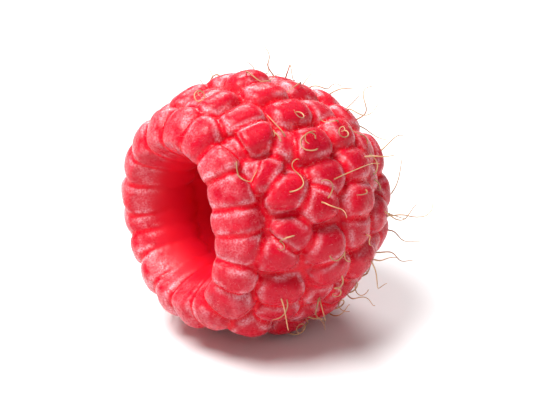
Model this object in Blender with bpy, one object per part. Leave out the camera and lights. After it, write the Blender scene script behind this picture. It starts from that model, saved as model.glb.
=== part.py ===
"""A picked raspberry: more than a hundred drupelets grown together round an open hollow, lying on its side.

Run it with  blender --background --python part.py  or from Blender's text editor.
Units are metres and +Z is up. The fruit rests on the plane z = 0, with its mouth towards -X.

The fruit is modelled standing on its tip, with its own axis along Z: height 0 is the tip and height
LENGTH is the crest of the rim. It is then turned about its axis and laid down.
"""

import math
import random

import bmesh
import bpy
import numpy as np
from mathutils import Matrix

# Driving dimensions of the fruit, in metres.
LENGTH = 0.0192  # from the tip to the crest of the rim
WIDTH = 0.0212  # across the widest ring of drupelets
RIM_ROUNDING = 0.0021  # radius of the rim's round crest, on its outside
DOME = 0.0018  # from the middle of a drupelet out to the top of its dome
FLESH = 0.0006  # how far the flesh behind the drupelets reaches out past their middles
FLATTENED = 0.00045  # how far the drupelets underneath give way under the fruit's own weight

# The hollow: a blunt cone with a round end, which opens out like a funnel at the mouth.
HOLLOW_DEPTH = 0.0146  # from the crest of the rim to the end of the hollow
HOLLOW_END_RADIUS = 0.0026  # where its round end begins
THROAT_RADIUS = 0.0044
FUNNEL_DEPTH = 0.0050  # from the crest of the rim to the throat
FUNNEL_POWER = 1.9  # over 1, the funnel's wall is straight at the throat and leans out at the crest
RIDGE_IN_HOLLOW = 0.00018  # how far the drupelets' inner ends bulge into the hollow at its throat
RIDGE_AT_RIM = 0.00115  # and at the crest of the rim

# The rings of drupelets, from the rim to the tip: how many, and the way along the wall to the next ring.
RINGS = (
    (18, 0.0031),
    (22, 0.0035),
    (22, 0.0032),
    (20, 0.0030),
    (16, 0.0028),
    (10, 0.0026),
    (5, 0.0025),
    (1, 0.0),
)
SCATTER = 0.21  # how far a drupelet strays from its even place, as a share of its spacing
SIZE_SPREAD = 0.18  # how much drupelets differ in size
PROUD_SPREAD = 0.00028  # and how much their tops differ in height
SMALL_SHARE = 0.10  # of the drupelets below the rim, these stayed small
SMALL_SIZE = 0.62
# Extra small drupelets that crowd in near the rim: how many rings from the rim, and degrees round the fruit.
CROWD = ((0.45, -28), (0.55, -44), (1.5, -36))
SEED = 11

# How the fruit is out of round: the mouth is a little oval, and one side of it is pressed in.
OVAL = 0.045
OVAL_AT = math.radians(25)
DENT = 0.0007
DENT_AT = math.radians(-75)
DENT_HALF_ANGLE = math.radians(36)

# How the fruit lies: turned about its own axis, with its mouth looking up a little.
TURN = math.radians(0)
LEAN = math.radians(4)

# How finely the fused surface is made.
VOXEL = 0.00028
KEPT_SHARE = 0.15

# The line that runs through the middles of the drupelets is an ellipse about a point on the axis.
RIM_HEIGHT = LENGTH - RIM_ROUNDING
MIDDLE_RADIUS = WIDTH / 2 - DOME
MIDDLE_HEIGHT = 0.0111
MIDDLE_REACH = MIDDLE_HEIGHT - DOME
RIM_ANGLE = math.acos((MIDDLE_HEIGHT - RIM_HEIGHT) / MIDDLE_REACH)
RIM_RADIUS = MIDDLE_RADIUS * math.sin(RIM_ANGLE)
RIM_TILT = math.radians(60)  # of the rim's drupelets, from lying level to pointing along the axis
HALF_ALONG = 0.64  # half a drupelet's size along the wall, as a share of the way to the next ring
HALF_ACROSS = 0.62  # and round the fruit, as a share of the way to the next one in its ring
RIM_HALF_ACROSS = 0.72
SEAT = 1.6  # how far a drupelet reaches back into the flesh, as a share of DOME
RIM_SEAT = 0.004  # and how far one of the rim's reaches back
DOME_POWER = 2.7  # 2 is a round dome, and more is a boxier one with a flatter top
SQUASH_POWER = 16  # how tightly a drupelet fills the room between its neighbours
OVERLAP = 1.0  # over 1, neighbouring drupelets share some room, and the creases are shallower
NEIGHBOUR_REACH = 0.0075
HOLLOW_FLOOR = LENGTH - HOLLOW_DEPTH
HOLLOW_BEND = HOLLOW_FLOOR + HOLLOW_END_RADIUS
THROAT_HEIGHT = LENGTH - FUNNEL_DEPTH


def wall_scale(points):
    """How far each point moves out (over 1) or in, as a share of its radius, to be out of round."""
    angle = np.arctan2(points[:, 1], points[:, 0])
    fade = np.clip(points[:, 2] / LENGTH, 0, 1) ** 2
    off = (angle - DENT_AT + np.pi) % (2 * np.pi) - np.pi
    depth = DENT * np.exp(-((off / DENT_HALF_ANGLE) ** 2)) * fade**1.5
    radius = np.maximum(np.hypot(points[:, 0], points[:, 1]), RIM_RADIUS)
    return 1 + OVAL * np.cos(2 * (angle - OVAL_AT)) * fade - depth / radius


def shaped(points):
    """Points of the evenly round fruit, moved to where they are on the fruit with its oval and its dent."""
    points = np.atleast_2d(np.array(points, float))
    scale = wall_scale(points)[:, None]
    return points * np.hstack([scale, scale, np.ones_like(scale)])


def hollow_radius(heights):
    """The hollow's radius at these heights above the tip."""
    share = np.clip((heights - HOLLOW_BEND) / (THROAT_HEIGHT - HOLLOW_BEND), 0, 1)
    cone = THROAT_RADIUS - (THROAT_RADIUS - HOLLOW_END_RADIUS) * (1 - share) ** 1.7
    opening = np.clip((heights - THROAT_HEIGHT) / FUNNEL_DEPTH, 0, 1) ** FUNNEL_POWER
    under = np.clip((HOLLOW_BEND - heights) / HOLLOW_END_RADIUS, 0, 1)
    end = HOLLOW_END_RADIUS * np.sqrt(1 - under**2)
    return np.where(heights > HOLLOW_BEND, cone + opening * (RIM_RADIUS - THROAT_RADIUS), end)


def kept_out_of_hollow(points):
    """Points moved out of the hollow, but for a soft bulge that makes the ridges round the mouth."""
    heights = points[:, 2]
    radius = np.hypot(points[:, 0], points[:, 1])
    wall = hollow_radius(heights) * wall_scale(points)
    opening = np.clip((heights - THROAT_HEIGHT) / FUNNEL_DEPTH, 0, 1)
    ridge = RIDGE_IN_HOLLOW + (RIDGE_AT_RIM - RIDGE_IN_HOLLOW) * opening
    inside = np.clip(wall - radius, 0, None)
    held = wall - ridge * (1 - np.exp(-inside / ridge))
    in_hollow = (heights > HOLLOW_FLOOR) & (inside > 0)
    scale = np.where(in_hollow, held / np.maximum(radius, 1e-6), 1.0)[:, None]
    return points * np.hstack([scale, scale, np.ones_like(scale)])


def middle_line(phi):
    """(height, radius, normal's height part, normal's radius part) of the middle line. At the tip phi is 0."""
    height = MIDDLE_HEIGHT - MIDDLE_REACH * math.cos(phi)
    radius = MIDDLE_RADIUS * math.sin(phi)
    up, out = -math.cos(phi) / MIDDLE_REACH, math.sin(phi) / MIDDLE_RADIUS
    size = math.hypot(up, out)
    return height, radius, up / size, out / size


def line_speed(phi):
    """Metres along the middle line for each radian of phi."""
    return math.hypot(MIDDLE_REACH * math.sin(phi), MIDDLE_RADIUS * math.cos(phi))


def ring_angles():
    """The phi of each ring, walked along the middle line from the rim to the tip."""
    phi = RIM_ANGLE
    found = []
    for _, step in RINGS:
        found.append(phi)
        walked = 0.0
        while walked < step and phi > 0:
            phi -= 0.001
            walked += 0.001 * line_speed(phi)
    found[-1] = 0.0
    return found


def new_drupelet(ring, angle, phi, size, spacing, step, proud=0.0):
    """A drupelet's middle, its directions out, across and along the wall, and its half sizes."""
    height, radius, up, out = middle_line(phi)
    if ring == 0:
        up, out = math.sin(RIM_TILT), math.cos(RIM_TILT)
    around = np.array([math.cos(angle), math.sin(angle), 0])
    across = np.array([-math.sin(angle), math.cos(angle), 0])
    normal = around * out + np.array([0, 0, up])
    width = max(radius, DOME) * spacing if spacing < 2 * math.pi else step
    return {
        "ring": ring,
        "middle": shaped(around * radius + np.array([0, 0, height]))[0],
        "normal": normal,
        "across": across,
        "along": np.cross(across, normal),
        "size": size,
        "half_along": RIM_ROUNDING if ring == 0 else step * HALF_ALONG,
        "half_across": width * (RIM_HALF_ACROSS if ring == 0 else HALF_ACROSS),
        "dome": RIM_ROUNDING if ring == 0 else (DOME + proud) * size**0.8,
        "seat": RIM_SEAT if ring == 0 else DOME * SEAT,
    }


def place_drupelets():
    """All the drupelets, ring by ring from the rim to the tip."""
    chance = random.Random(SEED)
    phis = ring_angles()
    placed = []
    first_angle = 0.0
    for ring, (count, step) in enumerate(RINGS):
        spacing = 2 * math.pi / count
        step = step or RINGS[ring - 1][1]
        first_angle += spacing * 0.5
        for place in range(count):
            stray = SCATTER * (0.4 if ring == 0 else 1.0) * (count > 1)
            angle = first_angle + spacing * (place + stray * chance.uniform(-1, 1))
            phi = phis[ring] + stray * chance.uniform(-1, 1) * step / line_speed(phis[ring])
            size = 1 + SIZE_SPREAD * chance.uniform(-1, 1)
            if 0 < ring < len(RINGS) - 1 and chance.random() < SMALL_SHARE:
                size = SMALL_SIZE
            proud = PROUD_SPREAD * chance.uniform(-1, 1)
            placed.append(new_drupelet(ring, angle, phi, size, spacing, step, proud))
    for rings, degrees in CROWD:
        ring = math.ceil(rings)
        phi = phis[ring - 1] + (phis[ring] - phis[ring - 1]) * (rings + 1 - ring)
        count, step = RINGS[ring]
        placed.append(new_drupelet(ring, math.radians(degrees), phi, SMALL_SIZE, 2 * math.pi / count, step))
    return placed


def find_walls(drupelets):
    """Gives each drupelet the planes where it presses against its neighbours: directions and distances."""
    for drupelet in drupelets:
        directions, distances = [], []
        for other in drupelets:
            apart = other["middle"] - drupelet["middle"]
            gap = np.linalg.norm(apart)
            if 0 < gap <= NEIGHBOUR_REACH:
                directions.append(apart / gap)
                distances.append(gap * drupelet["size"] / (drupelet["size"] + other["size"]))
        drupelet["ways"], drupelet["walls"] = np.array(directions), np.array(distances)


def reach(drupelet, directions):
    """How far the drupelet goes from its middle in each direction: a dome squeezed flat by its neighbours."""
    normal, along, across = (directions @ drupelet[axis] for axis in ("normal", "along", "across"))
    depth = np.where(normal > 0, drupelet["dome"], drupelet["seat"])
    free = (
        np.abs(normal / depth) ** DOME_POWER
        + np.abs(along / drupelet["half_along"]) ** DOME_POWER
        + np.abs(across / drupelet["half_across"]) ** DOME_POWER
    ) ** (1 / DOME_POWER)
    pressed = np.clip(directions @ drupelet["ways"].T, 0, None) / drupelet["walls"]
    total = free**SQUASH_POWER + (pressed**SQUASH_POWER).sum(axis=1)
    return OVERLAP * total ** (-1 / SQUASH_POWER)


def add_drupelet(fruit, drupelet):
    """One drupelet's closed skin, added to the fruit's bmesh."""
    made = bmesh.ops.create_icosphere(fruit, subdivisions=4, radius=1.0)
    directions = np.array([corner.co.normalized() for corner in made["verts"]])
    lengths = reach(drupelet, directions)[:, None]
    points = kept_out_of_hollow(drupelet["middle"] + directions * lengths)
    for corner, point in zip(made["verts"], points):
        corner.co = point


def flesh_outline():
    """(radius, height) of the flesh, from the tip, over the rim, to the end of the hollow."""
    tip_angle = math.radians(8)
    outline = [(0, middle_line(0)[0] - FLESH)]
    for share in np.linspace(0, 1, 20):
        height, radius, up, out = middle_line(tip_angle + share * (RIM_ANGLE - tip_angle))
        outline.append((radius + FLESH * out, height + FLESH * up))
    outline.append((RIM_RADIUS - 0.0003, RIM_HEIGHT + 0.0012))
    for share in np.linspace(0.88, 0.02, 24):
        height = HOLLOW_FLOOR + share * (LENGTH - HOLLOW_FLOOR)
        outline.append((float(hollow_radius(np.array(height))), height))
    outline.append((0, HOLLOW_FLOOR))
    return outline


def add_flesh(fruit):
    """The cup of flesh that joins the drupelets behind them, with the hollow inside it."""
    flesh = bmesh.new()
    corners = [flesh.verts.new((radius, 0, height)) for radius, height in flesh_outline()]
    edges = [flesh.edges.new(pair) for pair in zip(corners, corners[1:])]
    bmesh.ops.spin(
        flesh,
        geom=corners + edges,
        cent=(0, 0, 0),
        axis=(0, 0, 1),
        angle=2 * math.pi,
        steps=64,
        use_merge=True,
    )
    bmesh.ops.remove_doubles(flesh, verts=flesh.verts, dist=1e-6)
    bmesh.ops.recalc_face_normals(flesh, faces=flesh.faces)
    for corner, point in zip(flesh.verts, shaped([corner.co for corner in flesh.verts])):
        corner.co = point
    cup = bpy.data.meshes.new("flesh")
    flesh.to_mesh(cup)
    flesh.free()
    fruit.from_mesh(cup)
    bpy.data.meshes.remove(cup)


def object_from(shape, name):
    mesh = bpy.data.meshes.new(name)
    shape.to_mesh(mesh)
    shape.free()
    made = bpy.data.objects.new(name, mesh)
    bpy.context.collection.objects.link(made)
    return made


def laid_down(points):
    """The matrix that lays the fruit on its side and sinks its underside into the surface by FLATTENED."""
    turned = Matrix.Rotation(LEAN - math.pi / 2, 4, "Y") @ Matrix.Rotation(TURN, 4, "Z")
    placed = points @ np.array(turned.to_3x3()).T
    low, high = placed.min(axis=0), placed.max(axis=0)
    centre = (low + high) / 2
    return Matrix.Translation((-centre[0], -centre[1], -low[2] - FLATTENED)) @ turned


def skin_material():
    material = bpy.data.materials.new("drupelet_skin")
    material.use_nodes = True
    surface = material.node_tree.nodes["Principled BSDF"]
    surface.inputs["Base Color"].default_value = (0.72, 0.03, 0.055, 1)
    surface.inputs["Roughness"].default_value = 0.42
    surface.inputs["Metallic"].default_value = 0.0
    surface.inputs["Subsurface Weight"].default_value = 0.3
    surface.inputs["Subsurface Scale"].default_value = 0.001
    return material


def surface_cutter():
    """A slab under z = 0, as wide as the fruit and more, which flattens the drupelets that it rests on."""
    slab = bmesh.new()
    bmesh.ops.create_cube(slab, size=1.0)
    bmesh.ops.scale(slab, vec=(2 * LENGTH, 2 * LENGTH, WIDTH / 4), verts=slab.verts)
    bmesh.ops.translate(slab, vec=(0, 0, -WIDTH / 8), verts=slab.verts)
    cutter = object_from(slab, "surface_cutter")
    cutter.hide_render = True
    cutter.display_type = "WIRE"
    return cutter


def main():
    for old in list(bpy.data.objects):
        bpy.data.objects.remove(old)

    drupelets = place_drupelets()
    find_walls(drupelets)
    shape = bmesh.new()
    for drupelet in drupelets:
        add_drupelet(shape, drupelet)
    lay = laid_down(np.array([corner.co for corner in shape.verts]))
    add_flesh(shape)

    fruit = object_from(shape, "raspberry")
    fruit.matrix_world = lay
    fruit.data.materials.append(skin_material())

    fuse = fruit.modifiers.new("fuse", "REMESH")
    fuse.mode = "VOXEL"
    fuse.voxel_size = VOXEL
    thin_out = fruit.modifiers.new("thin_out", "DECIMATE")
    thin_out.ratio = KEPT_SHARE
    rest = fruit.modifiers.new("rest", "BOOLEAN")
    rest.operation = "DIFFERENCE"
    rest.solver = "EXACT"
    rest.object = surface_cutter()
    fruit.data.shade_smooth()
    print(f"{len(drupelets)} drupelets")


main()
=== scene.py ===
# %% [markdown]
# # A picked raspberry, lying on its side
# A raspberry is about a hundred drupelets, each a tiny fruit like a plum, that grew together round a core.
# The core stays on the plant when the fruit is picked, and leaves the hollow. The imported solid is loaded
# first, as a fixed frame: everything below is in its coordinates, in metres, with +Z up and the mouth of the
# hollow towards -X. A finer skin replaces the solid, which has too few faces for a close look.

import math
import random

import bmesh
import bpy
import numpy as np
from mathutils import Matrix, Vector, noise
from mathutils.bvhtree import BVHTree


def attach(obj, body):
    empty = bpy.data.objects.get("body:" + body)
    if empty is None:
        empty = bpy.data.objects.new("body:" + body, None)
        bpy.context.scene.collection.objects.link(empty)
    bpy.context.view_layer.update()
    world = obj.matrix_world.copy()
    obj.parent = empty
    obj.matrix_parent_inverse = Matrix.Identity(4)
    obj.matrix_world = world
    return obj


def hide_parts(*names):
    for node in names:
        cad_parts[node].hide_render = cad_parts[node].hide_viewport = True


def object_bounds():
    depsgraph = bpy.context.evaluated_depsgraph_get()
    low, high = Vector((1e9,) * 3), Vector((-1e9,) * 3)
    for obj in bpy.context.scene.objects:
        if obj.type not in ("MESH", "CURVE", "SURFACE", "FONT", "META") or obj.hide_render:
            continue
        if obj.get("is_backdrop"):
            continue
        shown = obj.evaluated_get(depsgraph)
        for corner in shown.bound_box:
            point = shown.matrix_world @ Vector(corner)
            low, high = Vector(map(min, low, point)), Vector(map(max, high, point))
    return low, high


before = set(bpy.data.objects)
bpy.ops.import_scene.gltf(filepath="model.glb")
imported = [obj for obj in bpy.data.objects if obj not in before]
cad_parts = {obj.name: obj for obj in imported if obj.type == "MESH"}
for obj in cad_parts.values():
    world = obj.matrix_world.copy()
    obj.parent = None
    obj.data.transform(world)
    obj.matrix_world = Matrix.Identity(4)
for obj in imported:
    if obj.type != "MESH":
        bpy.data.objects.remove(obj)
cad_low, cad_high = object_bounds()
MM = 0.001
print("solid of", [round(side / MM, 2) for side in cad_high - cad_low], "mm")

# %% [markdown]
# ## The fruit's measurements
# The fruit is worked out standing on its tip, with its axis along Z: height 0 is the tip, and LENGTH is the
# crest of the rim. The middles of the drupelets lie on an ellipse round that axis. These numbers and the seed
# are the solid's own, so each drupelet lands on the solid's.

# %% Length, width and rim
LENGTH = 19.2 * MM  # from the tip to the crest of the rim
WIDTH = 21.2 * MM  # across the widest ring
MIDDLE_HEIGHT = 11.1 * MM  # from the tip to the widest ring
DOME = 1.8 * MM  # from the middle of a drupelet out to the top of its dome
FLESH = 0.6 * MM  # how far the flesh behind the drupelets reaches past their middles
FLATTENED = 0.45 * MM  # how far the drupelets underneath give way
RIM_ROUNDING = 2.1 * MM
RIM_TILT = math.radians(60)  # how far the rim's drupelets face towards the mouth
LEAN = math.radians(4)  # how far the axis leans when the fruit lies down
RIM_HEIGHT = LENGTH - RIM_ROUNDING
MIDDLE_RADIUS = WIDTH / 2 - DOME
MIDDLE_REACH = MIDDLE_HEIGHT - DOME
RIM_ANGLE = math.acos((MIDDLE_HEIGHT - RIM_HEIGHT) / MIDDLE_REACH)
RIM_RADIUS = MIDDLE_RADIUS * math.sin(RIM_ANGLE)
print("rim", round(2 * RIM_RADIUS / MM, 1), "mm across its crest")

# %% [markdown]
# ## Out of round
# A ripe fruit is soft, so its mouth is a little oval and its near side is pressed in. Each drupelet could be
# pushed by hand, but one rule that scales the radius by angle and height moves every part alike, so nothing
# comes apart. It fades out towards the tip, which stays round.

# %% One rule for oval and dent
OVAL = 0.045  # share of the radius
OVAL_AT = math.radians(25)
DENT = 0.7 * MM
DENT_AT = math.radians(-75)
DENT_HALF_ANGLE = math.radians(36)


def wall_scale(points):
    """How far each point moves out (over 1) or in, as a share of its radius, to be out of round."""
    angle = np.arctan2(points[:, 1], points[:, 0])
    fade = np.clip(points[:, 2] / LENGTH, 0, 1) ** 2
    off = (angle - DENT_AT + np.pi) % (2 * np.pi) - np.pi
    depth = DENT * np.exp(-((off / DENT_HALF_ANGLE) ** 2)) * fade**1.5
    radius = np.maximum(np.hypot(points[:, 0], points[:, 1]), RIM_RADIUS)
    return 1 + OVAL * np.cos(2 * (angle - OVAL_AT)) * fade - depth / radius


def shaped(points):
    """Points of the evenly round fruit, moved to where they are on this one."""
    points = np.atleast_2d(np.array(points, float))
    scale = wall_scale(points)[:, None]
    return points * np.hstack([scale, scale, np.ones_like(scale)])


# %% [markdown]
# ## Where each drupelet sits
# Drupelets grow in rings, each ring shifted by half a place from the last, as in a honeycomb. They could be
# copies on a grid, but a perfectly even fruit looks like a casting. So each strays a little from its even
# place, differs in size and stands more or less proud, and a few small ones are crowded in near the rim.

# %% The rings
SEED = 11
RINGS = (  # how many drupelets, and how far on to the next ring, from the rim to the tip
    (18, 3.1 * MM),
    (22, 3.5 * MM),
    (22, 3.2 * MM),
    (20, 3.0 * MM),
    (16, 2.8 * MM),
    (10, 2.6 * MM),
    (5, 2.5 * MM),
    (1, 0.0),
)
CROWD = ((0.45, -28), (0.55, -44), (1.5, -36))  # the extra ones: how many rings from the rim, and degrees
WALK = 0.001  # radians of one step along the ellipse


def middle_line(phi):
    """(height, radius, normal's height part, normal's radius part) on the ellipse; phi is 0 at the tip."""
    up, out = -math.cos(phi) / MIDDLE_REACH, math.sin(phi) / MIDDLE_RADIUS
    size = math.hypot(up, out)
    height = MIDDLE_HEIGHT - MIDDLE_REACH * math.cos(phi)
    return height, MIDDLE_RADIUS * math.sin(phi), up / size, out / size


def line_speed(phi):
    """Metres along the ellipse for each radian of phi."""
    return math.hypot(MIDDLE_REACH * math.sin(phi), MIDDLE_RADIUS * math.cos(phi))


def ring_angles():
    """The phi of each ring, walked along the ellipse from the rim to the tip."""
    phi = RIM_ANGLE
    found = []
    for _, step in RINGS:
        found.append(phi)
        walked = 0.0
        while walked < step and phi > 0:
            phi -= WALK
            walked += WALK * line_speed(phi)
    found[-1] = 0.0
    return found


print("rings at", [round(math.degrees(phi)) for phi in ring_angles()], "degrees from the tip")

# %% One drupelet's place and room
HALF_ALONG = 0.64  # of the way to the next ring
HALF_ACROSS = 0.62  # of the way to the next drupelet
RIM_HALF_ACROSS = 0.72
SEAT = 1.6  # how deep a drupelet sits, in domes
RIM_SEAT = 4.0 * MM


def new_drupelet(ring, angle, phi, size, spacing, step, proud=0.0):
    """A drupelet's middle, its directions out, across and along the wall, and its half sizes."""
    height, radius, up, out = middle_line(phi)
    if ring == 0:
        up, out = math.sin(RIM_TILT), math.cos(RIM_TILT)
    around = np.array([math.cos(angle), math.sin(angle), 0])
    across = np.array([-math.sin(angle), math.cos(angle), 0])
    normal = around * out + np.array([0, 0, up])
    width = max(radius, DOME) * spacing if spacing < 2 * math.pi else step
    return {
        "ring": ring,
        "middle": shaped(around * radius + np.array([0, 0, height]))[0],
        "normal": normal,
        "across": across,
        "along": np.cross(across, normal),
        "size": size,
        "half_along": RIM_ROUNDING if ring == 0 else step * HALF_ALONG,
        "half_across": width * (RIM_HALF_ACROSS if ring == 0 else HALF_ACROSS),
        "dome": RIM_ROUNDING if ring == 0 else (DOME + proud) * size**0.8,
        "seat": RIM_SEAT if ring == 0 else DOME * SEAT,
    }


# %% Place them all
SCATTER = 0.21  # of the room between drupelets
RIM_SCATTER = 0.4  # of the others' scatter, because the rim is neater
SIZE_SPREAD = 0.18
SMALL_SHARE = 0.10
SMALL_SIZE = 0.62
PROUD_SPREAD = 0.28 * MM  # how much the tops of the drupelets differ in height


def place_drupelets():
    """All the drupelets, ring by ring from the rim to the tip, and then the crowded ones."""
    chance = random.Random(SEED)
    phis = ring_angles()
    placed = []
    first_angle = 0.0
    for ring, (count, step) in enumerate(RINGS):
        spacing = 2 * math.pi / count
        step = step or RINGS[ring - 1][1]
        first_angle += spacing * 0.5
        for place in range(count):
            stray = SCATTER * (RIM_SCATTER if ring == 0 else 1.0) * (count > 1)
            angle = first_angle + spacing * (place + stray * chance.uniform(-1, 1))
            phi = phis[ring] + stray * chance.uniform(-1, 1) * step / line_speed(phis[ring])
            size = 1 + SIZE_SPREAD * chance.uniform(-1, 1)
            if 0 < ring < len(RINGS) - 1 and chance.random() < SMALL_SHARE:
                size = SMALL_SIZE
            proud = PROUD_SPREAD * chance.uniform(-1, 1)
            placed.append(new_drupelet(ring, angle, phi, size, spacing, step, proud))
    for rings, degrees in CROWD:
        ring = math.ceil(rings)
        phi = phis[ring - 1] + (phis[ring] - phis[ring - 1]) * (rings + 1 - ring)
        count, step = RINGS[ring]
        spacing = 2 * math.pi / count
        placed.append(new_drupelet(ring, math.radians(degrees), phi, SMALL_SIZE, spacing, step))
    return placed


drupelets = place_drupelets()
print(len(drupelets), "drupelets in", len(RINGS), "rings")

# %% [markdown]
# ## One drupelet
# A drupelet is a juicy dome pressed flat by its neighbours, like a soap bubble in foam. It could be a ball
# scaled to fit, but balls meet in deep round gaps, and real drupelets fill their room. So each starts as an
# icosphere, and each of its points goes out until it meets either the free dome or the plane halfway to a
# neighbour. A high power mean of the two rounds the corner between them.

# %% Where the neighbours press
NEIGHBOUR_REACH = 7.5 * MM


def neighbours_of(here):
    """(directions, distances) of the planes where this drupelet presses against its neighbours."""
    directions, distances = [], []
    for other in drupelets:
        apart = other["middle"] - here["middle"]
        gap = np.linalg.norm(apart)
        if 0 < gap <= NEIGHBOUR_REACH:
            directions.append(apart / gap)
            distances.append(gap * here["size"] / (here["size"] + other["size"]))
    return np.array(directions), np.array(distances)


for drupelet in drupelets:
    drupelet["ways"], drupelet["walls"] = neighbours_of(drupelet)
pressing = sum(len(drupelet["walls"]) for drupelet in drupelets)
print("about", round(pressing / len(drupelets)), "neighbours within reach of each")

# %% How far a drupelet reaches
DOME_POWER = 2.7  # 2 is an ellipsoid, and more is boxier
SQUASH_POWER = 16  # more makes sharper edges where drupelets press


def reach(drupelet, directions):
    """How far the drupelet goes from its middle in each direction."""
    normal, along, across = (directions @ drupelet[axis] for axis in ("normal", "along", "across"))
    depth = np.where(normal > 0, drupelet["dome"], drupelet["seat"])
    free = (
        np.abs(normal / depth) ** DOME_POWER
        + np.abs(along / drupelet["half_along"]) ** DOME_POWER
        + np.abs(across / drupelet["half_across"]) ** DOME_POWER
    ) ** (1 / DOME_POWER)
    pressed = np.clip(directions @ drupelet["ways"].T, 0, None) / drupelet["walls"]
    total = free**SQUASH_POWER + (pressed**SQUASH_POWER).sum(axis=1)
    return total ** (-1 / SQUASH_POWER)


# %% [markdown]
# ## The hollow
# The core leaves a blunt cone that opens out like a funnel at the mouth. It could be cut out with a boolean
# once the fruit is whole, but that leaves a hard edge. Here every point that would lie in the hollow is moved
# back to its wall instead, and near the rim a soft bulge is left, which makes the ridges round the mouth.

# %% The hollow's shape
HOLLOW_FLOOR = LENGTH - 14.6 * MM
HOLLOW_END_RADIUS = 2.6 * MM
HOLLOW_BEND = HOLLOW_FLOOR + HOLLOW_END_RADIUS
HOLLOW_TAPER = 1.7
THROAT_RADIUS = 4.4 * MM
FUNNEL_DEPTH = 5.0 * MM
FUNNEL_POWER = 1.9
THROAT_HEIGHT = LENGTH - FUNNEL_DEPTH


def hollow_radius(heights):
    """The hollow's radius at these heights above the tip: a blunt cone that opens out at the mouth."""
    share = np.clip((heights - HOLLOW_BEND) / (THROAT_HEIGHT - HOLLOW_BEND), 0, 1)
    cone = THROAT_RADIUS - (THROAT_RADIUS - HOLLOW_END_RADIUS) * (1 - share) ** HOLLOW_TAPER
    opening = np.clip((heights - THROAT_HEIGHT) / FUNNEL_DEPTH, 0, 1) ** FUNNEL_POWER
    under = np.clip((HOLLOW_BEND - heights) / HOLLOW_END_RADIUS, 0, 1)
    end = HOLLOW_END_RADIUS * np.sqrt(1 - under**2)
    return np.where(heights > HOLLOW_BEND, cone + opening * (RIM_RADIUS - THROAT_RADIUS), end)


print("hollow", round((LENGTH - HOLLOW_FLOOR) / MM, 1), "mm deep")

# %% Keep the drupelets out of it
RIDGE_IN_HOLLOW = 0.18 * MM
RIDGE_AT_RIM = 1.15 * MM
LEAST_RADIUS = 1e-6  # stops a division by zero on the axis


def kept_out_of_hollow(points):
    """Points moved out of the hollow, but for the bulge of the ridges."""
    heights = points[:, 2]
    radius = np.hypot(points[:, 0], points[:, 1])
    wall = hollow_radius(heights) * wall_scale(points)
    opening = np.clip((heights - THROAT_HEIGHT) / FUNNEL_DEPTH, 0, 1)
    ridge = RIDGE_IN_HOLLOW + (RIDGE_AT_RIM - RIDGE_IN_HOLLOW) * opening
    inside = np.clip(wall - radius, 0, None)
    held = wall - ridge * (1 - np.exp(-inside / ridge))
    in_hollow = (heights > HOLLOW_FLOOR) & (inside > 0)
    scale = np.where(in_hollow, held / np.maximum(radius, LEAST_RADIUS), 1.0)[:, None]
    return points * np.hstack([scale, scale, np.ones_like(scale)])


# %% Make every drupelet's skin
SKIN_DETAIL = 4
UNEVENNESS = 0.05
LUMPS = 1.3  # of unevenness to a drupelet's radius
NEXT_LUMPS = 3.7  # moves each drupelet to a fresh part of the noise

fruit = bmesh.new()
for index, drupelet in enumerate(drupelets):
    made = bmesh.ops.create_icosphere(fruit, subdivisions=SKIN_DETAIL, radius=1.0)
    directions = np.array([corner.co.normalized() for corner in made["verts"]])
    shift = Vector((index * NEXT_LUMPS, 1.0, 2.0))
    uneven = np.array([noise.noise(Vector(way) * LUMPS + shift) for way in directions])
    lengths = reach(drupelet, directions) * (1 + UNEVENNESS * uneven)
    places = kept_out_of_hollow(drupelet["middle"] + directions * lengths[:, None])
    for corner, place in zip(made["verts"], places):
        corner.co = place
all_points = np.array([corner.co for corner in fruit.verts])
print(len(fruit.verts), "points of skin")

# %% [markdown]
# ## The flesh that joins them
# Behind the drupelets is the wall that holds them together, and its inside is the hollow. It is a cup, so
# half of its outline is drawn and spun round the axis: up the outside, over the rim and down the inside. A
# thick shell from Solidify would do too, but its thickness would be even, and this wall's isn't.

# %% The cup's outline
FLESH_TIP_ANGLE = math.radians(8)
OUTSIDE_POINTS = 24
INSIDE_POINTS = 40
CREST_IN = 0.3 * MM  # the outline's top corner, inwards and upwards from the rim's middles
CREST_UP = 1.2 * MM
INSIDE_FROM, INSIDE_TO = 0.88, 0.02  # how far up the hollow its wall is drawn


def flesh_outline():
    """(radius, height) from the tip, over the rim, to the end of the hollow."""
    outline = [(0, middle_line(0)[0] - FLESH)]
    for share in np.linspace(0, 1, OUTSIDE_POINTS):
        phi = FLESH_TIP_ANGLE + share * (RIM_ANGLE - FLESH_TIP_ANGLE)
        height, radius, up, out = middle_line(phi)
        outline.append((radius + FLESH * out, height + FLESH * up))
    outline.append((RIM_RADIUS - CREST_IN, RIM_HEIGHT + CREST_UP))
    for share in np.linspace(INSIDE_FROM, INSIDE_TO, INSIDE_POINTS):
        height = HOLLOW_FLOOR + share * (LENGTH - HOLLOW_FLOOR)
        outline.append((float(hollow_radius(np.array(height))), height))
    outline.append((0, HOLLOW_FLOOR))
    return outline


# %% Spin the cup and add it to the drupelets
FLESH_SIDES = 96

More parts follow.
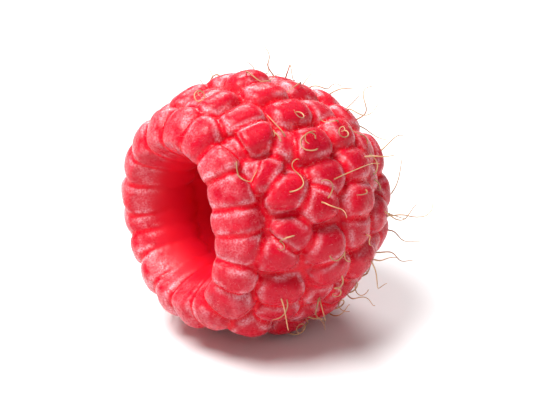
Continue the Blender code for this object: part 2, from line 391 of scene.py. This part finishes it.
flesh = bmesh.new()
corners = [flesh.verts.new((radius, 0, height)) for radius, height in flesh_outline()]
edges = [flesh.edges.new(pair) for pair in zip(corners, corners[1:])]
bmesh.ops.spin(
    flesh,
    geom=corners + edges,
    cent=(0, 0, 0),
    axis=(0, 0, 1),
    angle=2 * math.pi,
    steps=FLESH_SIDES,
    use_merge=True,
)
bmesh.ops.remove_doubles(flesh, verts=flesh.verts, dist=0.001 * MM)
bmesh.ops.recalc_face_normals(flesh, faces=flesh.faces)
for corner, place in zip(flesh.verts, shaped([corner.co for corner in flesh.verts])):
    corner.co = place
cup = bpy.data.meshes.new("flesh")
flesh.to_mesh(cup)
flesh.free()
fruit.from_mesh(cup)
bpy.data.meshes.remove(cup)
print("with the flesh,", len(fruit.verts), "points")

# %% [markdown]
# ## Fuse them into one skin
# A hundred shells that cross each other would show light through their hidden walls, and the red light inside
# real flesh has to pass from one drupelet to the next. A voxel remesh wraps one closed skin round all of
# them, and a little smoothing takes out the steps that it leaves.

# %% Remesh and smooth
FINENESS = 0.174 * MM
SMOOTHINGS = 2


def mesh_of(shape, name):
    """The bmesh as a mesh, which frees the bmesh."""
    mesh = bpy.data.meshes.new(name)
    shape.to_mesh(mesh)
    shape.free()
    return mesh


def linked(name, data):
    """A new object in the scene, at the origin."""
    made = bpy.data.objects.new(name, data)
    bpy.context.collection.objects.link(made)
    return made


def evaluated_mesh(thing):
    """The object's mesh with its modifiers, or its curve's bevel, carried out."""
    return bpy.data.meshes.new_from_object(thing.evaluated_get(bpy.context.evaluated_depsgraph_get()))


rough = linked("rough", mesh_of(fruit, "rough"))
fuse = rough.modifiers.new("fuse", "REMESH")
fuse.mode = "VOXEL"
fuse.voxel_size = FINENESS
fused_mesh = evaluated_mesh(rough)
bpy.data.objects.remove(rough)

skin = bmesh.new()
skin.from_mesh(fused_mesh)
bpy.data.meshes.remove(fused_mesh)
for _ in range(SMOOTHINGS):
    bmesh.ops.smooth_vert(
        skin, verts=skin.verts, factor=0.5, use_axis_x=True, use_axis_y=True, use_axis_z=True
    )
bmesh.ops.recalc_face_normals(skin, faces=skin.faces)
print(len(skin.faces), "faces of fused skin")

# %% [markdown]
# ## What each point of the skin knows
# The finish changes from the crease to the top of each drupelet, from one drupelet to the next, and from the
# outside to the hollow. Textures can't see that, so it is measured here for every point of the skin and kept
# in four attributes that the material reads.

# %% Whose skin each point is
CLOSE = 5.5 * MM  # no drupelet reaches further than this
FAR = 1e9

points = np.array([corner.co for corner in skin.verts])
nearest = np.full(len(points), FAR)  # distance to a drupelet as a share of its reach: 1 on its skin
second = np.full(len(points), FAR)
owner = np.zeros(len(points), int)
for index, drupelet in enumerate(drupelets):
    away = points - drupelet["middle"]
    distance = np.linalg.norm(away, axis=1)
    close = np.flatnonzero(distance < CLOSE)
    ways = away[close] / distance[close, None]
    share = distance[close] / reach(drupelet, ways)
    closer = share < nearest[close]
    second[close] = np.where(closer, nearest[close], np.minimum(second[close], share))
    won = close[closer]
    nearest[won] = share[closer]
    owner[won] = index
lead = second - nearest  # 0 in a crease, and about 0.7 on top of a drupelet
print("lead up to", round(float(np.percentile(lead, 90)), 2), "on nine points out of ten")


# %% Painted crease glow and shade, painted sheen on the edges, tints and the hollow
WALL_MARGIN = 1.0 * MM  # the inside begins this far out of the hollow's wall
WALL_FADE = 0.9 * MM
UNDER_CREST = 0.6 * MM  # the hollow's finish begins this far under the crest
HOLLOW_FADE = 2.0 * MM
CREASE_LEADS = (0.05, 0.36)  # the leads between which a crease fades out
# the pale edge is painted sheen: the glow of the down at a glancing angle
EDGE_RISES, EDGE_FALLS = (0.18, 0.36), (0.36, 0.66)  # and between which a pale edge comes and goes
CREST_RISES = (0.12, 0.30)
CREST_HEIGHTS = (LENGTH - 2.4 * MM, LENGTH - 0.8 * MM)
# how much painted sheen the rim's crest gets, besides its edges
CREST_SHEEN = 0.35
HOLLOW_TINT = 0.5


def smooth_step(values, low, high):
    """0 up to low, 1 from high on, and a soft rise between them."""
    share = np.clip((values - low) / (high - low), 0, 1)
    return share * share * (3 - 2 * share)


radius = np.hypot(points[:, 0], points[:, 1])
height = points[:, 2]
inner_wall = hollow_radius(height) * wall_scale(points)
is_inside = smooth_step(inner_wall + WALL_MARGIN - radius, 0, WALL_FADE)
is_inside = is_inside * (height > HOLLOW_FLOOR - WALL_MARGIN)
hollow_share = is_inside * smooth_step(LENGTH - UNDER_CREST - height, 0, HOLLOW_FADE)
# painted glow and shade in the creases: light through the flesh and the shade there, on skin that has no down
crease_glow_share = (1 - smooth_step(lead, *CREASE_LEADS)) * (1 - hollow_share)
top_edges = smooth_step(lead, *EDGE_RISES) * (1 - smooth_step(lead, *EDGE_FALLS))
crest = smooth_step(height, *CREST_HEIGHTS) * smooth_step(lead, *CREST_RISES)
# painted sheen: where the down would glow at a glancing angle, painted pale on the edges and the crest
sheen_edge_share = np.clip(top_edges + CREST_SHEEN * crest, 0, 1) * (1 - hollow_share)
chance = random.Random(SEED + 1)
tints = np.array([chance.random() for _ in drupelets])
tint_share = np.where(hollow_share > 0.5, HOLLOW_TINT, tints[owner])
print("creases", round(float(crease_glow_share.mean()), 3), "hollow", round(float(hollow_share.mean()), 3))

# %% [markdown]
# ## Lay the fruit on its side
# A soft fruit rests on small flats, where the drupelets underneath give way. It could be dropped as a soft
# body, but the flats are under half a millimetre deep, so it is turned, lowered by that much, and every
# corner below the surface is raised to it. The solid was laid down by the same rule.

# %% Turn, lower and flatten
def laid_down(points):
    """The matrix that lays the fruit on its side and sinks its underside into the surface by FLATTENED."""
    turned = Matrix.Rotation(LEAN - math.pi / 2, 4, "Y")
    placed = points @ np.array(turned.to_3x3()).T
    low, high = placed.min(axis=0), placed.max(axis=0)
    centre = (low + high) / 2
    return Matrix.Translation((-centre[0], -centre[1], -low[2] - FLATTENED)) @ turned


lay = laid_down(all_points)
bmesh.ops.transform(skin, matrix=lay, verts=skin.verts)
for corner in skin.verts:
    corner.co.z = max(corner.co.z, 0.0)
raspberry = linked("raspberry_skin", mesh_of(skin, "raspberry_skin"))
# crease and edge hold the shares of the painted crease glow and shade and of the painted sheen
known = {"crease": crease_glow_share, "hollow": hollow_share, "tint": tint_share, "edge": sheen_edge_share}
for name, values in known.items():
    attribute = raspberry.data.attributes.new(name, "FLOAT", "POINT")
    attribute.data.foreach_set("value", values.astype(np.float32))
raspberry.data.shade_smooth()
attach(raspberry, "root")
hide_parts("raspberry")
lowest = np.array([corner.co for corner in raspberry.data.vertices]).min(axis=0)
print("skin's lowest corner", (lowest / MM).round(2), "solid's", [round(side / MM, 2) for side in cad_low])

# %% [markdown]
# ## Helpers for node materials
# Every finish below is made of the same few nodes: an attribute of the skin, noise on the object's own
# coordinates, a sum or a product, a change of range and a mix of two colours. A function for each keeps the
# finishes short enough to read as recipes.

# %% Read, calculate and mix
MIX_SHARE, MIX_FIRST, MIX_SECOND, MIX_RESULT = 0, 6, 7, 2  # a Mix node's sockets when it mixes colours


def new_material(name):
    """A new material, its node tree and the shader of its surface."""
    material = bpy.data.materials.new(name)
    material.use_nodes = True
    return material, material.node_tree, material.node_tree.nodes["Principled BSDF"]


def value_from(tree, name):
    """The attribute's value on the surface."""
    reader = tree.nodes.new("ShaderNodeAttribute")
    reader.attribute_name = name
    return reader.outputs["Fac"]


def plug(tree, value, socket):
    """Join an output to the socket, or set the socket's own value."""
    if isinstance(value, bpy.types.NodeSocket):
        tree.links.new(value, socket)
    else:
        socket.default_value = value


def calculated(tree, operation, *inputs):
    """The result of one sum on numbers or outputs."""
    node = tree.nodes.new("ShaderNodeMath")
    node.operation = operation
    for socket, value in zip(node.inputs, inputs):
        plug(tree, value, socket)
    return node.outputs[0]


def mixed(tree, share, first, second):
    """A colour between first and second, each a colour or an output."""
    node = tree.nodes.new("ShaderNodeMix")
    node.data_type = "RGBA"
    for place, value in ((MIX_SHARE, share), (MIX_FIRST, first), (MIX_SECOND, second)):
        plug(tree, value, node.inputs[place])
    return node.outputs[MIX_RESULT]


# %% Noise and ranges
def noise_on(tree, size, detail=2.0):
    """Noise on the object's own coordinates, with lumps of about this size in metres."""
    place = tree.nodes.new("ShaderNodeTexCoord")
    pattern = tree.nodes.new("ShaderNodeTexNoise")
    tree.links.new(place.outputs["Object"], pattern.inputs["Vector"])
    pattern.inputs["Scale"].default_value = 1 / size
    pattern.inputs["Detail"].default_value = detail
    return pattern.outputs["Fac"]


def ranged(tree, value, from_low, from_high, to_low=0.0, to_high=1.0):
    """The value moved from one range to another, and held within it."""
    node = tree.nodes.new("ShaderNodeMapRange")
    tree.links.new(value, node.inputs["Value"])
    limits = {"From Min": from_low, "From Max": from_high, "To Min": to_low, "To Max": to_high}
    for name, number in limits.items():
        node.inputs[name].default_value = number
    return node.outputs["Result"]


# %% [markdown]
# ## The skin's colour
# Ripe skin is a clear film over red juice, and each drupelet ripens at its own pace, so each has its own red.
# Along their edges a painted sheen stands for the pale glow of the down at a glancing angle. The creases get
# a painted glow and shade: a clear red for light shining through the flesh and for the shade there, on skin
# without down. The hollow has its own clean red.
# One colour texture could be painted, but the attributes already know where each of these belongs.

# %% Reds, painted sheen and painted crease glow
# the pale pink of the painted sheen
SHEEN_PINK = (0.83, 0.400, 0.450, 1)
PALE = (0.67, 0.007, 0.028, 1)
DEEP = (0.54, 0.002, 0.022, 1)
# painted crease glow and shade: a clear red for light through the flesh and for shade, on skin without down
CREASE_GLOW_RED = (0.78, 0.001, 0.018, 1)
INSIDE = (0.70, 0.003, 0.018, 1)
TINT_WEIGHT, MOTTLE_WEIGHT = 0.60, 0.40  # how much of the ripeness differs by drupelet, and within one


def skin_colour(tree):
    """A red for each drupelet, then the painted sheen on its edges, the painted glow and shade of the
    creases, and the hollow.
    """
    mottle = ranged(tree, noise_on(tree, 0.9 * MM, 3.0), 0.35, 0.65)
    by_drupelet = calculated(tree, "MULTIPLY", value_from(tree, "tint"), TINT_WEIGHT)
    ripeness = calculated(tree, "MULTIPLY_ADD", mottle, MOTTLE_WEIGHT, by_drupelet)
    outside = mixed(tree, ripeness, PALE, DEEP)
    grain = ranged(tree, noise_on(tree, 0.16 * MM, 3.0), 0.40, 0.64, 0.22, 0.98)
    patches = ranged(tree, noise_on(tree, 1.6 * MM), 0.40, 0.60, 0.04, 1.0)
    spotted = calculated(tree, "MULTIPLY", grain, patches)
    # painted sheen, broken into grains and patches, on the drupelets' edges
    painted_sheen = calculated(tree, "MULTIPLY", spotted, value_from(tree, "edge"))
    sheened_red = mixed(tree, painted_sheen, outside, SHEEN_PINK)
    # the creases get their painted glow and shade
    glowing_creases = mixed(tree, value_from(tree, "crease"), sheened_red, CREASE_GLOW_RED)
    return mixed(tree, value_from(tree, "hollow"), glowing_creases, INSIDE)


# %% [markdown]
# ## The skin's surface
# The outside shines in small broken spots, because the down and the wax make it rougher in some places than
# in others, and it is finely dimpled. The hollow is one even satin wall: a pattern there would draw out into
# strings where the wall is seen at a slant. Bump is enough for dimples this shallow, so no corners move.

# %% Roughness and dimples
ROUGHNESS_LOW, ROUGHNESS_HIGH, HOLLOW_ROUGHNESS = 0.17, 0.42, 0.42
BUMP_STRENGTH, HOLLOW_BUMP_STRENGTH = 0.6, 0.06
DIMPLES = ((0.02 * MM, 0.13 * MM), (0.12 * MM, 0.7 * MM))  # depth and size of the fine and the broad ones


def skin_roughness(tree):
    """Uneven on the outside, and the same all over the hollow."""
    spots = ranged(tree, noise_on(tree, 0.30 * MM), 0.3, 0.7, ROUGHNESS_LOW, ROUGHNESS_HIGH)
    outside_share = calculated(tree, "SUBTRACT", 1.0, value_from(tree, "hollow"))
    satin = calculated(tree, "MULTIPLY", value_from(tree, "hollow"), HOLLOW_ROUGHNESS)
    return calculated(tree, "MULTIPLY_ADD", spots, outside_share, satin)


def skin_dimples(tree):
    """The normal after the fine dimples and then the broad ones."""
    strength = ranged(tree, value_from(tree, "hollow"), 0, 1, BUMP_STRENGTH, HOLLOW_BUMP_STRENGTH)
    normal = None
    for depth, size in DIMPLES:
        bump = tree.nodes.new("ShaderNodeBump")
        bump.inputs["Distance"].default_value = depth
        tree.links.new(strength, bump.inputs["Strength"])
        tree.links.new(noise_on(tree, size), bump.inputs["Height"])
        if normal:
            tree.links.new(normal, bump.inputs["Normal"])
        normal = bump.outputs["Normal"]
    return normal


# %% [markdown]
# ## The skin's light
# Light goes into the flesh, spreads and comes out redder, which is subsurface scattering, and it makes the
# thin creases glow. Glass with a red volume inside would do this more exactly, but it is slow and noisy, and
# doesn't travel to other renderers. A weak sheen stands for the finest of the down.

# %% Skin material
skin_finish, tree, surface = new_material("drupelet_skin_finish")
tree.links.new(skin_colour(tree), surface.inputs["Base Color"])
tree.links.new(skin_roughness(tree), surface.inputs["Roughness"])
tree.links.new(skin_dimples(tree), surface.inputs["Normal"])
surface.inputs["Subsurface Weight"].default_value = 0.40
surface.inputs["Subsurface Radius"].default_value = (1.0, 0.10, 0.06)
surface.inputs["Subsurface Scale"].default_value = 1.1 * MM
surface.inputs["Sheen Weight"].default_value = 0.07
surface.inputs["Sheen Roughness"].default_value = 0.32
surface.inputs["Sheen Tint"].default_value = (1.0, 0.72, 0.78, 1)
surface.inputs["Specular IOR Level"].default_value = 0.38
surface.inputs["IOR"].default_value = 1.36
raspberry.data.materials.append(skin_finish)
print(len(tree.nodes), "nodes in the skin's finish")

# %% [markdown]
# ## The hairs
# Each drupelet was once one pistil of the flower, and its dried style often stays on as a curly tan hair,
# most of them towards the tip. They could be a particle system, but a hair is a single curl on a single
# drupelet, so each is walked out step by step: up from the skin, then bending over and curling as it dries,
# and pushed back out wherever it would sink into the fruit.

# %% Walk one hair
HAIR_STEP = 0.18 * MM
HAIR_STEPS = (13, 26)
HAIR_ROOT = 0.1 * MM  # how deep a hair starts in the skin
HAIR_CLEARANCE = 0.10 * MM  # from the skin, once it has left its root
HAIR_ABOVE_FLOOR = 0.15 * MM
HAIR_CURL = (0.10, 0.30)  # radians a step, at the root
CURL_CHANGE = (-0.08, 0.09)  # and how much that changes at each step

fruit_tree = BVHTree.FromPolygons(
    [corner.co.copy() for corner in raspberry.data.vertices],
    [tuple(face.vertices) for face in raspberry.data.polygons],
)


def any_way(chance, most):
    """A vector with each part between -most and most."""
    return Vector([chance.uniform(-most, most) for _ in range(3)])


def walked_hair(root, out, chance):
    """The points of one hair that starts at root and first grows along out."""
    side = out.cross(any_way(chance, 1)).normalized()
    heading = (out + side * chance.uniform(0.2, 1.0)).normalized()
    curl_axis = (out.cross(heading) + out * chance.uniform(-0.8, 0.8)).normalized()
    curl = chance.uniform(*HAIR_CURL)
    place = root - out * HAIR_ROOT
    trail = [place.copy()]
    for step in range(chance.randint(*HAIR_STEPS)):
        heading = Matrix.Rotation(curl, 3, curl_axis) @ heading
        curl_axis = (curl_axis + out * chance.uniform(-0.18, 0.18)).normalized()
        curl += chance.uniform(*CURL_CHANGE)
        place = place + heading * HAIR_STEP
        spot, normal, _, _ = fruit_tree.find_nearest(place)
        if step > 1 and (place - spot).dot(normal) < HAIR_CLEARANCE:
            place = spot + normal * HAIR_CLEARANCE
        place.z = max(place.z, HAIR_ABOVE_FLOOR)
        trail.append(place.copy())
    return trail


# %% Which drupelets have hairs
HAIR_SHARE = (0.10, 0.40, 0.75, 0.95, 1.0, 1.0, 1.0, 1.0)  # of the drupelets in each ring
STRAY_SHARE = 0.40  # of those have a second hair, as where one came off a neighbour and clings
ROOT_STRAY = 0.35  # how far a root is from the top of its drupelet
LOWEST_ROOT = 0.6 * MM

chance = random.Random(SEED + 2)
haired = [drupelet for drupelet in drupelets if chance.random() < HAIR_SHARE[drupelet["ring"]]]
haired += [drupelet for drupelet in haired if chance.random() < STRAY_SHARE]
trails = []
for drupelet in haired:
    out = Vector(drupelet["normal"])
    if drupelet["ring"] == 0:
        out.z = 0
    out = (out.normalized() + any_way(chance, ROOT_STRAY)).normalized()
    root = Vector(drupelet["middle"]) + out * float(reach(drupelet, np.array([out]))[0])
    root = lay @ root
    out = (lay.to_3x3() @ out).normalized()
    if root.z >= LOWEST_ROOT:
        trails.append(walked_hair(root, out, chance))
print(len(trails), "hairs")

# %% [markdown]
# ## Hairs as one piece
# A dried hair is a fine thread, thicker at its root. Each could be a row of cylinders, but a curve with a
# round bevel gives a smooth tube that tapers by the radius of its points. The tubes are made a mesh, which
# takes up one piece for all the hairs.

# %% Draw the hairs
HAIR_THICKNESS = 0.050 * MM  # the tube's radius where a point's own radius is 1
ROOT_THICKNESS, HAIR_TAPER = 1.25, 0.75


def new_tubes(name, thickness, resolution):
    """An empty curve whose strokes become tubes with closed ends."""
    curve = bpy.data.curves.new(name, "CURVE")
    curve.dimensions = "3D"
    curve.bevel_depth = thickness
    curve.bevel_resolution = resolution
    curve.use_fill_caps = True
    return curve


def piece_from_curve(name, curve):
    """The curve's tubes as a mesh object that rides the fruit."""
    drawn = linked(name + "_curve", curve)
    mesh = evaluated_mesh(drawn)
    bpy.data.objects.remove(drawn)
    mesh.materials.clear()
    piece = linked(name, mesh)
    piece.data.shade_smooth()
    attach(piece, "root")
    return piece


hairs = new_tubes("styles", HAIR_THICKNESS, 1)
for trail in trails:
    spline = hairs.splines.new("POLY")
    spline.points.add(len(trail) - 1)
    for place, (dot, point) in enumerate(zip(spline.points, trail)):
        dot.co = (*point, 1)
        dot.radius = ROOT_THICKNESS - HAIR_TAPER * place / len(trail)
styles = piece_from_curve("dried_styles", hairs)
print(len(styles.data.polygons), "faces of hair")

# %% Dried tan finish
DRY_DARK = (0.40, 0.19, 0.08, 1)
DRY_LIGHT = (0.68, 0.42, 0.21, 1)

hair_finish, tree, surface = new_material("dried_style")
dryness = ranged(tree, noise_on(tree, 1.5 * MM), 0.35, 0.65)
tree.links.new(mixed(tree, dryness, DRY_DARK, DRY_LIGHT), surface.inputs["Base Color"])
surface.inputs["Roughness"].default_value = 0.5
styles.data.materials.append(hair_finish)
print("hairs", round(2 * HAIR_THICKNESS * ROOT_THICKNESS / MM, 3), "mm thick at the root")

# %% [markdown]
# ## The down
# Between the curly hairs the skin carries a down of pale hairs a third of a millimetre long. Sheen gives
# their glow, but not the soft outline they give the fruit, so some thousands of them are made as well. They
# are drawn as one curve with thousands of short bent strokes, because a bevel then turns every stroke into a
# fine tube.

# %% One bent stroke for each hair of down
DOWN_COUNT = 8800
DOWN_LENGTH = (0.14 * MM, 0.34 * MM)
DOWN_THICKNESS = 0.0050 * MM
DOWN_BEND = 0.8
DOWN_ROOT = 0.03 * MM
DOWN_ABOVE_FLOOR = 0.02 * MM
LOWEST_DOWN = 0.3 * MM
DOWN_SHARES = (0.0, 0.55, 1.0)  # where along a hair its three points are
DOWN_TAPER = (1.0, 0.75, 0.25)

chance = random.Random(SEED + 3)
skin_points = raspberry.data.vertices
too_far_in = hollow_share + is_inside > 0.3
strokes = new_tubes("down", DOWN_THICKNESS, 0)
while len(strokes.splines) < DOWN_COUNT:
    pick = chance.randrange(len(skin_points))
    if too_far_in[pick] or skin_points[pick].co.z < LOWEST_DOWN:
        continue
    out = skin_points[pick].normal.copy()
    bend = any_way(chance, DOWN_BEND)
    length = chance.uniform(*DOWN_LENGTH)
    root = skin_points[pick].co - out * DOWN_ROOT
    stroke = strokes.splines.new("POLY")
    stroke.points.add(len(DOWN_SHARES) - 1)
    for dot, share, thick in zip(stroke.points, DOWN_SHARES, DOWN_TAPER):
        point = root + (out + bend * share) * length * share
        dot.co = (point.x, point.y, max(point.z, DOWN_ABOVE_FLOOR), 1)
        dot.radius = thick
down_piece = piece_from_curve("down", strokes)
print(len(down_piece.data.polygons), "faces of down")

# %% Pale finish for the down
DOWN_PINK = (0.84, 0.26, 0.28, 1)
DOWN_WHITE = (0.90, 0.50, 0.50, 1)

down_finish, tree, surface = new_material("pale_down")
shade = ranged(tree, noise_on(tree, 2.0 * MM), 0.35, 0.65)
tree.links.new(mixed(tree, shade, DOWN_PINK, DOWN_WHITE), surface.inputs["Base Color"])
surface.inputs["Roughness"].default_value = 0.6
down_piece.data.materials.append(down_finish)
print(DOWN_COUNT, "hairs of down")

# %% [markdown]
# ## A plain studio
# The fruit lies on a pale surface that reaches past the view, so that only its own shadow shows. A sky
# texture would colour the reds, so the surround is plain white, and weak enough to leave the hollow dark.

# %% Surface and surround
FLOOR_SIZE = 1.5
FLOOR_WHITE = (0.82, 0.82, 0.82, 1)
SURROUND_STRENGTH = 0.25

floor_shape = bmesh.new()
bmesh.ops.create_grid(floor_shape, x_segments=1, y_segments=1, size=FLOOR_SIZE)
floor = linked("floor", mesh_of(floor_shape, "floor"))
floor_finish, tree, surface = new_material("white_surface")
surface.inputs["Base Color"].default_value = FLOOR_WHITE
surface.inputs["Roughness"].default_value = 0.6
floor.data.materials.append(floor_finish)
floor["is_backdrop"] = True

scene = bpy.context.scene
scene.view_settings.view_transform = "Standard"
world = bpy.data.worlds.new("surround")
scene.world = world
world.use_nodes = True
world.node_tree.nodes["Background"].inputs["Color"].default_value = (1, 1, 1, 1)
world.node_tree.nodes["Background"].inputs["Strength"].default_value = SURROUND_STRENGTH
print("surface", 2 * FLOOR_SIZE, "m wide")

# %% [markdown]
# ## Light
# A big lamp overhead, on the mouth's side, lights the tops of the drupelets softly. One behind draws the
# small bright edges that make them look juicy, and a weak one in front of the mouth opens up the hollow.
# Small lamps would give hard shadows and pinpoint glints, so all three are wide discs.

# %% Three soft lamps
LAMPS = (  # name, place, width and watts
    ("key", (-0.24, 0.06, 0.55), 0.32, 4.8),
    ("back", (0.20, 0.36, 0.34), 0.26, 2.2),
    ("fill", (-0.40, -0.35, 0.30), 0.40, 0.5),
)
LAMP_TARGET = Vector((0, 0, 10 * MM))


def soft_lamp(name, place, width, power):
    """A round area lamp that points at the fruit."""
    lamp = bpy.data.lights.new(name, "AREA")
    lamp.shape = "DISK"
    lamp.size = width
    lamp.energy = power
    stand = linked(name, lamp)
    stand.location = place
    stand.rotation_euler = (LAMP_TARGET - Vector(place)).to_track_quat("-Z", "Y").to_euler()


for lamp_settings in LAMPS:
    soft_lamp(*lamp_settings)
print(len(LAMPS), "lamps")

# %% [markdown]
# ## Camera
# The fruit is seen from a little above, across the edge of its mouth, so that its outside, rim and hollow all
# show. A wide lens close by would swell the near side, so a long lens looks from a third of a metre away.

# %% Camera
AZIMUTH, ELEVATION = math.radians(-37), math.radians(25)
DISTANCE = 0.36
AIM = Vector((0, 0, 10.3 * MM))
FOCAL_LENGTH = 300
SENSOR_WIDTH = 36
CLIP_START = 0.01

lens = bpy.data.cameras.new("camera")
lens.sensor_width = SENSOR_WIDTH
lens.lens = FOCAL_LENGTH
lens.clip_start = CLIP_START
eye = linked("camera", lens)
eye.location = AIM + DISTANCE * Vector(
    (
        math.sin(AZIMUTH) * math.cos(ELEVATION),
        -math.cos(AZIMUTH) * math.cos(ELEVATION),
        math.sin(ELEVATION),
    )
)
eye.rotation_euler = (AIM - eye.location).to_track_quat("-Z", "Y").to_euler()
scene.camera = eye
print("camera", round((eye.location - AIM).length / MM), "mm away")

# %% [markdown]
# ## The sizes side by side
# The finer skin is made to fill the solid's box closely, and only the hairs stand well out of it. The two
# boxes are printed side by side, because a slip in a unit or an axis shows there at once.

# %% Sizes
seen_low, seen_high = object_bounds()
sizes = {"cad": [list(cad_low), list(cad_high)], "visual": [list(seen_low), list(seen_high)]}
for name, (low, high) in sizes.items():
    print(name, [round((b - a) / MM, 2) for a, b in zip(low, high)], "mm")
